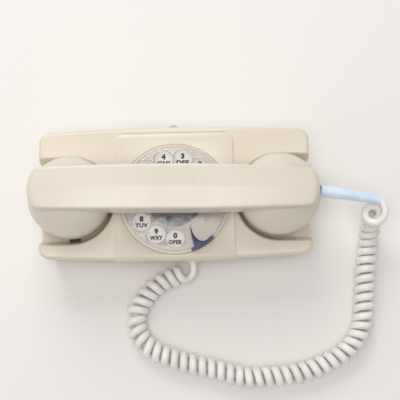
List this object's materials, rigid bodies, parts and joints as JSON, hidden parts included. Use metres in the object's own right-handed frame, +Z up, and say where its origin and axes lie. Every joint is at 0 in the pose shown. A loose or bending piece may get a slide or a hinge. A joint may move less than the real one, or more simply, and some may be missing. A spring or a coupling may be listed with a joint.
{
  "type": "rotary telephone",
  "caption": "Compact ivory rotary desk telephone with a clear finger wheel set in the base and the handset laid across it in two open cups, on a curly cord.",
  "frame": {"origin": "middle of the footprint, on the surface the feet rest on", "axes": "+X along the handset to its cord end, +Y to the back, +Z up"},
  "size_m": [0.2585, 0.1959, 0.084],
  "materials": {
    "ivory_shell": "satin",
    "ivory_handset": "satin",
    "plate_steel": "satin",
    "bright_steel": "satin",
    "spring_steel": "polished",
    "dark_stop": "polished",
    "brass_parts": "polished",
    "number_face": "gloss",
    "clear_wheel": "gloss",
    "black_moulding": "satin",
    "brown_laminate": "matte",
    "grey_capsule": "satin",
    "foot_rubber": "matte",
    "cord_vinyl": "satin",
    "sleeve_vinyl": "satin",
    "frost_tab": "satin",
    "wire_winding": "satin"
  },
  "bodies": {
    "base": {"feet": "foot_rubber", "base_plate": "plate_steel", "base_screws": "bright_steel", "housing": "ivory_shell", "dial_panel": "ivory_shell", "panel_screws": "bright_steel", "number_plate": "number_face", "dial_frame": "bright_steel", "frame_screws": "bright_steel", "movement_plate": "bright_steel", "movement_pillars": "brass_parts", "main_spring": "spring_steel", "finger_stop": "dark_stop", "pulse_springs": "spring_steel", "spring_block": "brown_laminate", "governor_drum": "bright_steel", "hook_pin": "bright_steel", "hook_bracket": "bright_steel", "hook_spring": "spring_steel", "hook_contacts": "brown_laminate", "network_block": "black_moulding", "network_screws": "brass_parts", "ringer_frame": "bright_steel", "ringer_coil": "wire_winding", "ringer_pin": "bright_steel", "gong": "brass_parts", "gong_post": "bright_steel", "gong_screw": "bright_steel", "loudness_pin": "bright_steel", "line_jack": "black_moulding", "cord_grommet": "cord_vinyl", "curly_cord": "cord_vinyl", "cord_tail": "cord_vinyl"},
    "dial": {"finger_wheel": "clear_wheel", "main_shaft": "bright_steel", "main_gear": "brass_parts", "wheel_screw": "bright_steel"},
    "pulse_train": {"pulse_shaft": "bright_steel", "pulse_wheel": "brass_parts"},
    "governor": {"governor_shaft": "bright_steel", "governor_weights": "brass_parts"},
    "handset": {"handset_shell": "ivory_handset", "ear_cap": "ivory_handset", "mouth_cap": "ivory_handset", "receiver": "grey_capsule", "receiver_terminals": "brass_parts", "transmitter": "grey_capsule", "transmitter_cup": "black_moulding", "transmitter_contacts": "brass_parts", "cord_clamp": "bright_steel", "cord_sleeve": "sleeve_vinyl"},
    "hook": {"hook_lever": "black_moulding"},
    "striker": {"clapper": "bright_steel"},
    "loudness": {"loudness_lever": "frost_tab"}
  },
  "joints": [
    {"name": "dial_turn", "type": "hinge", "parent": "base", "child": "dial", "pos_m": [0, -0.007, 0.048], "axis": [0, 0, -1], "range_deg": [0, 320], "stiffness_Nm_per_rad": 0.006, "springref_deg": -51.57},
    {"name": "pulse_turn", "type": "hinge", "parent": "base", "child": "pulse_train", "pos_m": [-0.0234, -0.01552, 0.034], "axis": [0, 0, -1], "range_deg": [-2100, 0]},
    {"name": "governor_turn", "type": "hinge", "parent": "base", "child": "governor", "pos_m": [-0.01734, -0.02645, 0.029], "axis": [0, 0, -1], "range_deg": [0, 8380]},
    {"name": "handset_lift", "type": "slide", "parent": "base", "child": "handset", "axis": [0, 0, 1], "range_m": [0, 0.12]},
    {"name": "hook_turn", "type": "hinge", "parent": "base", "child": "hook", "pos_m": [-0.074, -0.018, 0.0205], "axis": [-1, 0, 0], "range_deg": [0, 8.4]},
    {"name": "striker_swing", "type": "hinge", "parent": "base", "child": "striker", "pos_m": [0.05, 0.008, 0.014], "axis": [0, 0, 1], "range_deg": [-1.2, 1.2], "stiffness_Nm_per_rad": 0.02},
    {"name": "loudness_turn", "type": "hinge", "parent": "base", "child": "loudness", "pos_m": [0, 0.034, 0.03], "axis": [0, 0, 1], "range_deg": [-14, 14]}
  ],
  "couplings": [
    {"joint": "pulse_turn", "follows": "dial_turn", "ratio": -6.5455},
    {"joint": "governor_turn", "follows": "dial_turn", "ratio": 26.182},
    {"joint": "hook_turn", "follows": "handset_lift", "rad_per_m": 1.1636}
  ]
}
